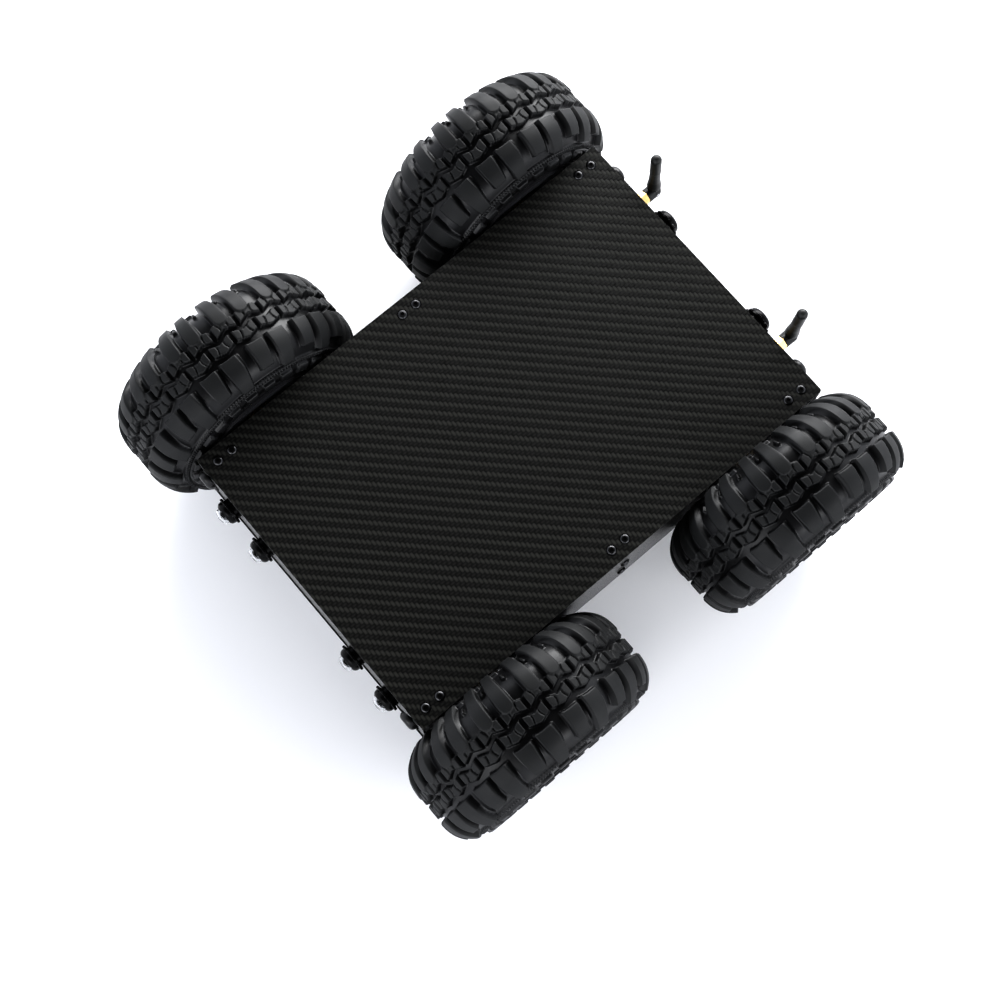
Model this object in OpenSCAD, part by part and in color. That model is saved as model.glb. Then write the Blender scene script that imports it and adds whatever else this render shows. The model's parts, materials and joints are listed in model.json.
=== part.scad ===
// Four wheel robot chassis: a box of carbon fibre plates with a gearmotor behind each wheel.
// Millimetres. +X is the front, +Y is the left side, +Z is up.
// The origin is on the ground, midway between the four wheels.

/* [Chassis box] */
// Length of the top plate
plate_l = 300; // [290:1:302]
// Width of the top plate
plate_w = 200; // [199:0.5:200.5]
// Thickness of every plate and panel
plate_t = 3; // [2.8:0.1:3.1]
// Height of the deck above the ground
deck_h = 115; // [113.5:0.5:117]
// Height of the underside above the ground
base_h = 52.5; // [50.5:0.5:52.5]
// How far the bottom plate stands out past each end panel
base_lip = 0.8; // [0.5:0.1:1.5]

/* [Wheels] */
// Distance between the front and rear axles
wheel_base = 201; // [200:0.5:202]
// Distance between the left and right tyre centres
track = 267.5; // [267:0.5:269]
// Diameter of the tyre over its lugs
tyre_d = 149; // [148:0.5:150]
// Width of the tyre over its lugs
tyre_w = 65; // [64.5:0.5:66]
// Height of the tread lugs
lug_h = 3.6; // [2.5:0.1:4]
// Number of lugs around each row
lug_count = 28; // [24:2:32]
// Diameter of the rim's bead seat
rim_d = 84; // [82:0.5:86]

/* [Lamps] */
// Offset of the inner lamps from the middle
lamp_in_y = 41; // [38:0.5:42]
// Offset of the outer headlamps from the middle
lamp_out_y = 71; // [66:0.5:72]
// Height of the lamps above the ground
lamp_h = 92; // [86:0.5:93]
// How far a lamp's lens stands out from the panel
lamp_out = 11; // [9.5:0.1:12]
// How much further out the tail lamps stand
tail_reach = 5.4; // [4:0.1:5.6]

/* [Antennas] */
// Offset of each antenna from the middle
antenna_y = 61; // [60:0.5:62]
// Height of the antenna sockets above the ground
antenna_h = 95; // [93.5:0.5:96.5]
// Length of the whip above its fold pin
whip_l = 39; // [34:0.5:41]
// How far the right antenna leans outward at rest
right_lean = 5.5; // [0:0.5:10]

/* [Bumpers] */
// Offset of the front bumpers from the middle
bumper_front_y = 90; // [88:0.5:90]
// Offset of the rear bumpers from the middle
bumper_rear_y = 80; // [79:0.5:82]

/* [Hidden] */

$fn = 48;
carbon = [0.10, 0.10, 0.11];
black = [0.06, 0.06, 0.06];
rubber = [0.13, 0.13, 0.13];
steel = [0.72, 0.72, 0.74];
alloy = [0.80, 0.81, 0.82];
gold = [0.93, 0.80, 0.45];

// Chassis levels
base_top = base_h + plate_t;
deck_low = deck_h - plate_t;
wall_h = deck_low - base_top;
end_x = plate_l / 2;
side_y = plate_w / 2;
axle_z = tyre_d / 2;
axle_x = wheel_base / 2;
wheel_y = track / 2;

// Fasteners: M3 button heads everywhere, M4 in the wheels
m3_r = 1.5;
m3_hole = 1.6;
m3_tap = 1.55;
seat_r = 3.1;
seat_d = 0.7;
screw_y = side_y - 8.2;
pair_gap = 10;
block_x = 136;
block_d = 10.4;
block_w = 22;
pair_xs = [-block_x, 0, block_x];
side_screw_zs = [base_top + 16, deck_low - 16.5];
end_screw_zs = [base_top + 22, base_top + 34];

// Gearmotors: 37 mm gearbox with its shaft 7 mm off centre
gear_r = 18.5;
gear_l = 24;
can_r = 17.2;
can_l = 31;
shaft_off = 7;
shaft_r = 3;
boss_r = 6;
boss_l = 5.3;
face_r = 15.5;
face_angles = [30:60:330];
face_y = side_y - plate_t;
motor_x = axle_x - shaft_off;

// Wheels
rim_r = rim_d / 2;
half_w = tyre_w / 2;
shoulder_drop = 18;
shoulder_power = 5.4;
rim_half = 31;
bead_v = rim_half - 2;
web_out = -2.75;
hub_tip_y = wheel_y + web_out - 3;
hub_start_y = side_y + 4;

// Lamps and antenna parts
lamp_r = 9.2;
neck_t = 2.2;
flange_t = 6.2;
barrel_r = 6;
lens_r = 5;
thread_r = 3.1;
fold_x = -end_x - 16.6;
ball_r = 4.6;
pin_r = 1.2;

// Control board and battery on the bottom plate
board_x = 50;
board_y = [8, 78];
board_z = base_top + 6;
board_t = 1.6;
terminal_z = board_z + board_t + 5;
battery_size = [138, 46, 26];
battery_y = -40;
battery_lift = 1.6;

// Plan outline of a plate with small round corners
module rounded_plate(l, w, r) {
    square([l - 2 * r, w], center = true);
    square([l, w - 2 * r], center = true);
    for (x = [-1, 1], y = [-1, 1])
        translate([x * (l / 2 - r), y * (w / 2 - r)]) circle(r);
}

// A hole or rod along X that starts at x and runs towards +X
module along_x(x, y, z, r, l) {
    translate([x, y, z]) rotate([0, 90, 0]) cylinder(r = r, h = l);
}

// A hole or rod along Y that starts at y and runs towards +Y
module along_y(x, y, z, r, l) {
    translate([x, y, z]) rotate([-90, 0, 0]) cylinder(r = r, h = l);
}

// Button head screw standing on z = 0, with its shank below
module button_screw(shank_r, shank_l, head_r, head_h, key) {
    difference() {
        union() {
            rotate_extrude() polygon(concat([[0, 0], [head_r, 0], [head_r, head_h * 0.25]],
                [for (a = [15:15:75]) [head_r * (0.42 + 0.58 * cos(a)),
                    head_h * (0.25 + 0.75 * sin(a))]],
                [[head_r * 0.42, head_h], [0, head_h]]));
            translate([0, 0, -shank_l]) cylinder(r = shank_r, h = shank_l);
        }
        translate([0, 0, head_h * 0.35]) cylinder(r = key / 2 / cos(30), h = head_h, $fn = 6);
    }
}

module m3_screw(l) button_screw(m3_r, l, 2.85, 1.65, 2, $fn = 32);

// The places of the paired plate screws, seen in plan
module at_plate_screws() {
    for (x = pair_xs, d = [-1, 1], s = [-1, 1])
        translate([x + d * pair_gap / 2, s * screw_y, 0]) children();
}

// Hole for a plate screw through a plate whose outer face is z = 0, spot-faced for the head
module seat_hole() {
    translate([0, 0, -plate_t - 1]) cylinder(r = m3_hole, h = plate_t + 2);
    translate([0, 0, -seat_d]) cylinder(r = seat_r, h = 2);
}

// Top plate with its six pairs of screw holes
module top_plate() {
    color(carbon) difference() {
        translate([0, 0, deck_low]) linear_extrude(plate_t) rounded_plate(plate_l, plate_w, 1.5);
        at_plate_screws() translate([0, 0, deck_h]) seat_hole();
    }
}

// Bottom plate with the same holes
module bottom_plate() {
    color(carbon) difference() {
        translate([0, 0, base_h]) linear_extrude(plate_t)
            rounded_plate(plate_l + 2 * base_lip, plate_w, 1.5);
        at_plate_screws() translate([0, 0, base_h]) mirror([0, 0, 1]) seat_hole();
    }
}

// Side panel on the +Y side, with the boss and face holes of two motors
module side_panel() {
    color(carbon) difference() {
        translate([-end_x, face_y, base_top]) cube([plate_l, plate_t, wall_h]);
        for (m = [-1, 1]) {
            along_y(m * axle_x, face_y - 1, axle_z, boss_r + 0.2, plate_t + 2);
            for (a = face_angles)
                along_y(m * motor_x + face_r * cos(a), face_y - 1, axle_z + face_r * sin(a),
                    m3_hole, plate_t + 2);
        }
        for (x = pair_xs, z = side_screw_zs) along_y(x, face_y - 1, z, m3_hole, plate_t + 2);
    }
}

// End panel at +X, with holes of radius r at each [y, z] of the list
module end_panel(holes, r, more = [], more_r = 1) {
    color(carbon) difference() {
        translate([end_x - plate_t, -face_y, base_top]) cube([plate_t, 2 * face_y, wall_h]);
        for (h = holes) along_x(end_x - plate_t - 1, h[0], h[1], r, plate_t + 2);
        for (h = more) along_x(end_x - plate_t - 1, h[0], h[1], more_r, plate_t + 2);
        for (s = [-1, 1], z = end_screw_zs)
            along_x(end_x - plate_t - 1, s * screw_y, z, m3_hole, plate_t + 2);
    }
}

module front_panel() {
    end_panel([for (y = [-lamp_out_y, -lamp_in_y, lamp_in_y, lamp_out_y]) [y, lamp_h]],
        barrel_r + 0.1);
}

module rear_panel() {
    mirror([1, 0, 0]) end_panel([for (s = [-1, 1]) [s * lamp_in_y, lamp_h]], barrel_r + 0.1,
        [for (s = [-1, 1]) [s * antenna_y, antenna_h]], thread_r + 0.1);
}

// Metal block between the plates, drilled and tapped from both ends and from outside
module spacer_block(w) {
    difference() {
        translate([-w / 2, face_y - block_d, base_top]) cube([w, block_d, wall_h]);
        for (d = [-1, 1]) translate([d * pair_gap / 2, screw_y, 0]) {
            translate([0, 0, base_top - 1]) cylinder(r = m3_tap, h = 12);
            translate([0, 0, deck_low - 11]) cylinder(r = m3_tap, h = 12);
        }
        for (z = side_screw_zs) along_y(0, face_y - 8, z, m3_tap, 9);
    }
}

// Corner blocks are also tapped for the end panel's screws
module spacer_blocks() {
    color(alloy) for (s = [0, 1]) mirror([0, s, 0]) {
        spacer_block(20);
        for (m = [0, 1]) mirror([m, 0, 0]) difference() {
            translate([block_x, 0, 0]) spacer_block(block_w);
            for (z = end_screw_zs)
                along_x(end_x - plate_t - 8, screw_y, z, m3_tap, 9);
        }
    }
}

module top_plate_screws() {
    color(black) at_plate_screws() translate([0, 0, deck_h - seat_d]) m3_screw(12);
}

module bottom_plate_screws() {
    color(black) at_plate_screws() translate([0, 0, base_h + seat_d]) mirror([0, 0, 1])
        m3_screw(12);
}

module side_panel_screws() {
    color(black) for (s = [0, 1]) mirror([0, s, 0])
        for (x = pair_xs, z = side_screw_zs)
            translate([x, side_y, z]) rotate([-90, 0, 0]) m3_screw(10);
}

module end_panel_screws() {
    color(black) for (m = [0, 1], s = [0, 1]) mirror([m, 0, 0]) mirror([0, s, 0])
        for (z = end_screw_zs)
            translate([end_x, screw_y, z]) rotate([0, 90, 0]) m3_screw(10);
}

module motor_screws() {
    color(steel) for (m = [0, 1], s = [0, 1]) mirror([m, 0, 0]) mirror([0, s, 0])
        for (a = face_angles)
            translate([motor_x + face_r * cos(a), side_y, axle_z + face_r * sin(a)])
                rotate([-90, 0, 0]) m3_screw(7);
}

// Self-adhesive rubber dome
module bumper() {
    rotate([0, 90, 0]) rotate_extrude() polygon(concat([[0, 0]],
        [for (a = [0:15:75]) [3.2 + 3 * cos(a), 1.2 + 3.8 * sin(a)]], [[3.2, 5], [0, 5]]));
}

module corner_bumpers() {
    color(rubber) {
        for (s = [-1, 1]) translate([end_x, s * bumper_front_y, deck_low - 6.8]) bumper();
        for (s = [-1, 1]) mirror([1, 0, 0])
            translate([end_x, s * bumper_rear_y, deck_low - 6.8]) bumper();
    }
}

// Gearmotor of the front left wheel
module gearmotor() {
    color(alloy) difference() {
        union() {
            along_y(motor_x, face_y - gear_l, axle_z, gear_r, gear_l);
            along_y(motor_x, face_y - gear_l - can_l, axle_z, can_r, can_l);
            along_y(motor_x, face_y - gear_l - can_l - 2, axle_z, 6, 2);
            along_y(axle_x, face_y, axle_z, boss_r, boss_l);
        }
        along_y(axle_x, face_y - 21, axle_z, shaft_r + 0.05, 21 + boss_l + 1);
        for (a = face_angles)
            along_y(motor_x + face_r * cos(a), face_y - 5, axle_z + face_r * sin(a), m3_tap, 6);
    }
}

// Gearbox output shaft, round in the boss and flattened in the hub
module motor_shaft() {
    color(steel) difference() {
        along_y(axle_x, face_y - 20.8, axle_z, shaft_r, hub_tip_y - 7.5 - face_y + 20.8);
        translate([axle_x - 5, hub_start_y, axle_z + shaft_r - 0.5]) cube([10, 40, 5]);
    }
}

// Long 12 mm hex hub with a round collar and a tapped nose
module wheel_hub() {
    hex_l = hub_tip_y - hub_start_y;
    color(gold) difference() {
        union() {
            translate([axle_x, hub_start_y, axle_z]) rotate([-90, 0, 0])
                cylinder(r = 6 / cos(30), h = hex_l, $fn = 6);
            along_y(axle_x, hub_start_y, axle_z, 8, 8);
        }
        along_y(axle_x, hub_start_y - 1, axle_z, shaft_r + 0.05, hex_l - 6);
        along_y(axle_x, hub_tip_y - 6, axle_z, 2.05, 7);
    }
}

// Section of the rim: radius first, then the distance from the wheel's centre plane
function rim_section() = [[rim_r - 3.5, -rim_half], [rim_r + 2.2, -rim_half],
    [rim_r + 2.2, -bead_v - 0.1], [rim_r, -bead_v - 0.1], [rim_r, -bead_v + 5],
    [rim_r - 2, -bead_v + 8], [rim_r - 2, bead_v - 8], [rim_r, bead_v - 5],
    [rim_r, bead_v + 0.1], [rim_r + 2.2, bead_v + 0.1], [rim_r + 2.2, rim_half],
    [rim_r - 3.5, rim_half]];

// Rim with a drilled web and a hexagonal pocket for the hub
module wheel_rim() {
    web_in = web_out - 5;
    color([0.16, 0.16, 0.17]) translate([axle_x, wheel_y, axle_z]) rotate([-90, 0, 0])
        difference() {
            union() {
                rotate_extrude($fn = 96) polygon(rim_section());
                translate([0, 0, web_in]) cylinder(r = rim_r - 3, h = 5);
                translate([0, 0, web_in - 3]) cylinder(r = 12.5, h = 5);
            }
            for (a = [30:60:330]) rotate(a) translate([25.5, 0, web_in - 1])
                cylinder(r = 7.8, h = 7);
            translate([0, 0, web_in - 4]) cylinder(r = 6.05 / cos(30), h = 6, $fn = 6);
            translate([0, 0, web_in - 4]) cylinder(r = 2.1, h = 12);
        }
}

module wheel_screw() {
    color(steel) translate([axle_x, wheel_y + web_out, axle_z]) rotate([-90, 0, 0])
        button_screw(2, 8.5, 3.8, 2.2, 2.5, $fn = 32);
}

// Half of a square-shouldered outline, from the crown to the bead on the +v side
function half_outline(r, w, drop, bead, v) = concat(
    [for (t = [0, 0.3, 0.5, 0.65, 0.76, 0.85, 0.92, 0.97, 1])
        [r - drop * pow(t, shoulder_power), w * t]],
    [for (b = [30:30:90]) [r - drop - (r - drop - bead) * sin(b), v + (w - v) * cos(b)]]);

// Whole outline as a solid of revolution's section, from bead to bead
function outline(r, w, drop, bead, v) = let (h = half_outline(r, w, drop, bead, v), n = len(h))
    concat([for (i = [n - 1:-1:1]) [h[i][0], -h[i][1]]], h);

module tyre_body(r, w, drop, bead, v) {
    rotate_extrude($fn = 96) polygon(concat([[0, -v]], outline(r, w, drop, bead, v), [[0, v]]));
}

// One row of lugs between the planes v0 and v1, each covering the fraction share of its pitch
module lug_row(v0, v1, share, phase, r0) {
    pitch = 360 / lug_count;
    r1 = tyre_d / 2 + 3;
    h = share * pitch / 2;
    translate([0, 0, v0]) linear_extrude(v1 - v0) for (i = [0:lug_count - 1])
        rotate((i + phase) * pitch)
            polygon([[r0 * cos(h), -r0 * sin(h)], [r1 * cos(h * 0.9), -r1 * sin(h * 0.9)],
                [r1 * cos(h * 0.9), r1 * sin(h * 0.9)], [r0 * cos(h), r0 * sin(h)]]);
}

// Hollow rubber tyre standing on the rim's bead seats
module tyre() {
    r = tyre_d / 2;
    bead = rim_r + 0.05;
    color(rubber) difference() {
        union() {
            tyre_body(r - lug_h, half_w - 2, shoulder_drop - 1.5, bead, bead_v);
            intersection() {
                tyre_body(r, half_w, shoulder_drop, bead + 6, bead_v + 1);
                union() {
                    lug_row(-half_w - 1, -half_w * 0.35, 0.62, 0, 55);
                    lug_row(half_w * 0.28, half_w + 1, 0.62, 0.5, 55);
                    lug_row(-half_w * 0.28, -half_w * 0.05, 0.8, 0.5, 60);
                    lug_row(-half_w * 0.02, half_w * 0.21, 0.8, 0, 60);
                }
            }
        }
        tyre_body(r - lug_h - 4, half_w - 5.5, shoulder_drop - 2.5, bead, bead_v - 3);
        translate([0, 0, -half_w - 1]) cylinder(r = bead, h = tyre_w + 2, $fn = 96);
        for (s = [0, 1]) mirror([0, 0, s]) translate([0, 0, bead_v])
            cylinder(r = rim_r + 2.25, h = half_w, $fn = 96);
    }
}

// The lugs point the same way on all four wheels
module tyre_at(mx, my) {
    translate([mx * axle_x, my * wheel_y, axle_z]) rotate([-90, 0, 0]) tyre();
}

// Lamp body: a neck that stands reach off the panel, a notched flange, and the barrel behind
module lamp_body(reach = 0) {
    tail = 12;
    difference() {
        union() {
            rotate([0, 90, 0]) cylinder(r = barrel_r + 0.7, h = reach + neck_t);
            translate([reach + neck_t, 0, 0]) rotate([0, 90, 0]) {
                cylinder(r = lamp_r - 2.2, h = flange_t - neck_t);
                linear_extrude(flange_t - neck_t) for (a = [0:60:300]) rotate(a + 30)
                    translate([lamp_r / 2, 0]) square([lamp_r, 6.4], center = true);
            }
            translate([reach, 0, 0]) rotate([0, 90, 0])
                cylinder(r1 = lens_r + 2.2, r2 = lens_r + 0.8, h = flange_t + 1.4);
            translate([-tail, 0, 0]) rotate([0, 90, 0]) cylinder(r = barrel_r, h = tail + 1);
        }
        translate([reach + flange_t - 1, 0, 0]) rotate([0, 90, 0])
            cylinder(r = lens_r + 0.05, h = 9);
    }
}

// Clear dome seated in the lamp body, standing out to the distance out
module lamp_lens(out, reach = 0) {
    base = reach + flange_t - 1;
    rise = out - base;
    rotate([0, 90, 0]) rotate_extrude() polygon(concat([[0, base], [lens_r, base]],
        [for (a = [0:12:84]) [lens_r * cos(a), base + rise * 0.3 + rise * 0.7 * sin(a)]],
        [[0, out]]));
}

module at_headlamps() {
    for (y = [-lamp_out_y, -lamp_in_y, lamp_in_y, lamp_out_y])
        translate([end_x, y, lamp_h]) children();
}

module at_tail_lamps() {
    for (s = [-1, 1]) translate([-end_x, s * lamp_in_y, lamp_h]) mirror([1, 0, 0]) children();
}

module headlamp_bodies() { color(black) at_headlamps() lamp_body(); }
module headlamp_lenses() { color([0.9, 0.93, 0.95]) at_headlamps() lamp_lens(lamp_out); }
module tail_lamp_bodies() { color(black) at_tail_lamps() lamp_body(tail_reach); }
module tail_lamp_lenses() {
    color([0.35, 0.05, 0.05]) at_tail_lamps() lamp_lens(tail_reach + flange_t + 0.6, tail_reach);
}

// Hexagonal nut on the barrel, behind the panel
module lamp_nut() {
    translate([-plate_t - 3, 0, 0]) rotate([0, 90, 0]) difference() {
        cylinder(r = 8 / cos(30), h = 3, $fn = 6);
        translate([0, 0, -1]) cylinder(r = barrel_r + 0.05, h = 5);
    }
}

module lamp_nuts() {
    color(steel) {
        at_headlamps() lamp_nut();
        at_tail_lamps() lamp_nut();
    }
}

module at_jacks() {
    for (s = [-1, 1]) translate([-end_x, s * antenna_y, antenna_h]) children();
}

// Threaded coaxial jack through the rear panel, with a hexagonal shoulder inside
module antenna_jacks() {
    color(gold) at_jacks() {
        translate([-7, 0, 0]) rotate([0, 90, 0]) cylinder(r = thread_r, h = 17);
        translate([plate_t, 0, 0]) rotate([0, 90, 0]) cylinder(r = 4 / cos(30), h = 2, $fn = 6);
    }
}

module antenna_jack_nuts() {
    color(gold) at_jacks() translate([-2.2, 0, 0]) rotate([0, 90, 0]) difference() {
        cylinder(r = 4 / cos(30), h = 2.2, $fn = 6);
        translate([0, 0, -1]) cylinder(r = thread_r + 0.05, h = 5);
    }
}

// Hexagonal coupling nut of the antenna, screwed onto the jack
module antenna_plug(s) {
    color(gold) translate([-end_x - 10, s * antenna_y, antenna_h]) rotate([0, 90, 0])
        difference() {
            cylinder(r = 4 / cos(30), h = 7.4, $fn = 6);
            translate([0, 0, 2.6]) cylinder(r = thread_r + 0.05, h = 6);
            translate([0, 0, -1]) cylinder(r = 1.65, h = 5);
        }
}

// Things that swivel with the antenna, in a frame at the fold pin
module at_fold(s, lean) {
    translate([fold_x, s * antenna_y, antenna_h]) rotate([lean, 0, 0]) children();
}

// Slotted ball that turns in the coupling nut and carries the fold pin
module antenna_knuckle(s, lean) {
    reach = -end_x - 10 - fold_x;
    color(black) at_fold(s, lean) difference() {
        union() {
            sphere(ball_r);
            rotate([0, 90, 0]) cylinder(r = ball_r - 0.2, h = reach - 0.3);
            rotate([0, 90, 0]) cylinder(r = 1.6, h = reach + 2.2);
        }
        translate([-12, -2, -8]) cube([15.7, 4, 16]);
        translate([0, -8, 0]) rotate([-90, 0, 0]) cylinder(r = pin_r + 0.01, h = 16);
    }
}

module antenna_pin(s, lean) {
    color(steel) at_fold(s, lean) translate([0, -4.3, 0]) rotate([-90, 0, 0])
        cylinder(r = pin_r, h = 8.6);
}

// Stubby whip with a flat tongue in the knuckle's slot
module antenna_whip(s, lean) {
    tip = 3.35;
    color(black) at_fold(s, lean) {
        rotate_extrude() polygon(concat([[0, 5.1], [4.1, 5.1], [4.35, 6], [4.2, 8.5],
            [3.6, 13], [3.35, 18]],
            [for (a = [0:15:75]) [tip * cos(a), whip_l - tip + tip * sin(a)]], [[0, whip_l]]));
        difference() {
            union() {
                translate([0, -1.7, 0]) rotate([-90, 0, 0]) cylinder(r = 3.3, h = 3.4);
                translate([-2.5, -1.7, 0]) cube([5, 3.4, 6]);
            }
            translate([0, -3, 0]) rotate([-90, 0, 0]) cylinder(r = pin_r + 0.05, h = 6);
        }
    }
}

// Block on the board between two corners, standing on its upper face
module chip(x0, y0, x1, y1, h) {
    translate([x0, y0, board_z + board_t - 0.1]) cube([x1 - x0, y1 - y0, h + 0.1]);
}

// Motor control board with its heat sink, terminals and plug-on modules
module control_board() {
    color([0.05, 0.22, 0.12]) difference() {
        union() {
            translate([-board_x, board_y[0], board_z])
                cube([2 * board_x, board_y[1] - board_y[0], board_t]);
            chip(40, 18, 48, 40, 10);
            chip(-48, 18, -40, 40, 10);
            chip(40, 44, 46, 68, 6);
            chip(-46, 44, -40, 60, 6);
            chip(-32, 54, -14, 70, 3);
            chip(-10, 50, 32, 72, 4);
            chip(-16, 14, 18, 44, 3);
            for (i = [0:5]) chip(-16 + i * 6.4, 14, -14 + i * 6.4, 44, 12);
            chip(24, 18, 34, 28, 9);
        }
        for (x = [-1, 1], y = [board_y[0] + 4, board_y[1] - 4])
            translate([x * (board_x - 4), y, board_z - 1]) cylinder(r = 1.6, h = board_t + 2);
    }
}

// Nylon snap posts with adhesive feet
module board_posts() {
    color([0.9, 0.9, 0.88]) for (x = [-1, 1], y = [board_y[0] + 4, board_y[1] - 4])
        translate([x * (board_x - 4), y, base_top]) {
            cylinder(r = 3.6, h = 1.2);
            cylinder(r = 2.6, h = board_z - base_top);
            cylinder(r = 1.5, h = board_z - base_top + board_t + 1.8);
            translate([0, 0, board_z - base_top + board_t + 0.05])
                cylinder(r1 = 2, r2 = 1.2, h = 1.8);
        }
}

module battery() {
    color([0.12, 0.16, 0.30]) translate([0, battery_y, base_top + battery_lift])
        linear_extrude(battery_size[2]) rounded_plate(battery_size[0], battery_size[1], 3);
}

// Self-adhesive strap on the bottom plate, wrapped around the battery
module battery_strap() {
    inner = battery_size[1] + 0.8;
    color([0.10, 0.10, 0.10]) difference() {
        translate([-10, battery_y - inner / 2 - 1.5, base_top])
            cube([20, inner + 3, battery_size[2] + 2 * battery_lift]);
        translate([-11, battery_y - inner / 2, base_top + battery_lift - 0.1])
            cube([22, inner, battery_size[2] + 0.2]);
    }
}

// Smooths a route by cutting its corners, keeping both ends
function soften(p) = concat([p[0]],
    [for (i = [0:len(p) - 2]) each [if (i > 0) 0.75 * p[i] + 0.25 * p[i + 1],
        if (i < len(p) - 2) 0.25 * p[i] + 0.75 * p[i + 1]]],
    [p[len(p) - 1]]);

function unit(v) = v / norm(v);

// Direction of a route at its point i
function heading(p, i) = i == 0 ? unit(p[1] - p[0])
    : i == len(p) - 1 ? unit(p[i] - p[i - 1])
    : unit(unit(p[i] - p[i - 1]) + unit(p[i + 1] - p[i]));

// Wire of radius r swept along a route as one closed skin
module wire(route, r) {
    sides = 8;
    p = soften(soften(route));
    n = len(p);
    rings = [for (i = [0:n - 1]) let (t = heading(p, i), u = unit(cross(t, [0, 0, 1])),
        w = cross(u, t)) for (k = [0:sides - 1])
            p[i] + r * (cos(k * 360 / sides) * u + sin(k * 360 / sides) * w)];
    skin = [for (i = [0:n - 2], k = [0:sides - 1]) let (k1 = (k + 1) % sides)
        [i * sides + k, i * sides + k1, (i + 1) * sides + k1, (i + 1) * sides + k]];
    first = [for (k = [sides - 1:-1:0]) k];
    last = [for (k = [0:sides - 1]) (n - 1) * sides + k];
    polyhedron(rings, concat(skin, [first, last]), convexity = 6);
}

// Height above the bottom plate, as a height above the ground
function lift(h) = base_top + h;

motor_tail_y = face_y - gear_l - can_l - 2;
motor_routes = [
    [[motor_x, motor_tail_y, axle_z], [motor_x, 35, axle_z], [88, 30, lift(17)],
        [62, 30, terminal_z], [48, 30, terminal_z]],
    [[motor_x, -motor_tail_y, axle_z], [motor_x, -33, axle_z], [86, -8, lift(19)],
        [74, 14, lift(16)], [60, 20, terminal_z], [48, 20, terminal_z]],
    [[-motor_x, motor_tail_y, axle_z], [-motor_x, 36, axle_z], [-88, 36, lift(17)],
        [-62, 36, terminal_z], [-48, 36, terminal_z]],
    [[-motor_x, -motor_tail_y, axle_z], [-motor_x, -36, axle_z], [-94, -30, lift(22)],
        [-88, -6, lift(24)], [-74, 18, lift(20)], [-60, 26, terminal_z], [-48, 26, terminal_z]]];
lamp_lanes = [-9, -3, 3, 9];
lamp_plug_z = board_z + board_t + 3;
head_ys = [-lamp_out_y, -lamp_in_y, lamp_in_y, lamp_out_y];
head_routes = [for (k = [0:3]) [[end_x - 12, head_ys[k], lamp_h],
    [end_x - 20, head_ys[k] * 0.93, lamp_h], [118, lamp_lanes[k], lift(30)],
    [76, lamp_lanes[k], lift(30)], [62, 30 + 6 * k, lift(26)], [54, 47 + 6 * k, lamp_plug_z],
    [46, 47 + 6 * k, lamp_plug_z]]];
tail_routes = [for (k = [0, 1]) [[12 - end_x, (2 * k - 1) * lamp_in_y, lamp_h],
    [20 - end_x, (2 * k - 1) * lamp_in_y * 0.93, lamp_h], [-118, 8 * k - 4, lift(30)],
    [-76, 8 * k - 4, lift(30)], [-62, 30 + 8 * k, lift(26)], [-54, 48 + 8 * k, lamp_plug_z],
    [-46, 48 + 8 * k, lamp_plug_z]]];
battery_route = [[-battery_size[0] / 2, battery_y, lift(13.6)], [-76, battery_y, lift(13.6)],
    [-82, -32, lift(12)], [-82, -12, lift(8)], [-66, 6, lift(9)], [-58, 21, terminal_z],
    [-48, 21, terminal_z]];
cable_end_z = board_z + board_t + 1.5;
cable_routes = [
    [[10 - end_x, antenna_y, antenna_h], [18 - end_x, antenna_y, antenna_h],
        [-122, 62, lift(43)], [-72, 66, lift(43)], [-50, 84, lift(30)], [-30, 86, lift(12)],
        [-26, 80, cable_end_z], [-26, 70, cable_end_z]],
    [[10 - end_x, -antenna_y, antenna_h], [18 - end_x, -antenna_y, antenna_h],
        [-124, -40, lift(43)], [-100, 0, lift(46)], [-72, 60, lift(47)], [-46, 89, lift(32)],
        [-20, 91, lift(14)], [-19, 82, cable_end_z], [-19, 70, cable_end_z]]];

module motor_leads() { color([0.6, 0.1, 0.1]) for (p = motor_routes) wire(p, 1.5); }
module lamp_leads() {
    color(black) for (p = concat(head_routes, tail_routes)) wire(p, 1.1);
}
module battery_lead() { color([0.65, 0.1, 0.1]) wire(battery_route, 2.2); }
module antenna_cables() { color([0.25, 0.25, 0.25]) for (p = cable_routes) wire(p, 0.9); }

module front_left() { children(); }
module front_right() { mirror([0, 1, 0]) children(); }
module rear_left() { mirror([1, 0, 0]) children(); }
module rear_right() { mirror([1, 0, 0]) mirror([0, 1, 0]) children(); }

top_plate();
bottom_plate();
side_panel();  // side_panel_left
mirror([0, 1, 0]) side_panel();  // side_panel_right
front_panel();
rear_panel();
spacer_blocks();
top_plate_screws();
bottom_plate_screws();
side_panel_screws();
end_panel_screws();
motor_screws();
corner_bumpers();
front_left() gearmotor();  // gearmotor_front_left
front_right() gearmotor();  // gearmotor_front_right
rear_left() gearmotor();  // gearmotor_rear_left
rear_right() gearmotor();  // gearmotor_rear_right
front_left() motor_shaft();  // motor_shaft_front_left
front_right() motor_shaft();  // motor_shaft_front_right
rear_left() motor_shaft();  // motor_shaft_rear_left
rear_right() motor_shaft();  // motor_shaft_rear_right
front_left() wheel_hub();  // wheel_hub_front_left
front_right() wheel_hub();  // wheel_hub_front_right
rear_left() wheel_hub();  // wheel_hub_rear_left
rear_right() wheel_hub();  // wheel_hub_rear_right
front_left() wheel_rim();  // wheel_rim_front_left
front_right() wheel_rim();  // wheel_rim_front_right
rear_left() wheel_rim();  // wheel_rim_rear_left
rear_right() wheel_rim();  // wheel_rim_rear_right
tyre_at(1, 1);  // tyre_front_left
tyre_at(1, -1);  // tyre_front_right
tyre_at(-1, 1);  // tyre_rear_left
tyre_at(-1, -1);  // tyre_rear_right
front_left() wheel_screw();  // wheel_screw_front_left
front_right() wheel_screw();  // wheel_screw_front_right
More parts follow.
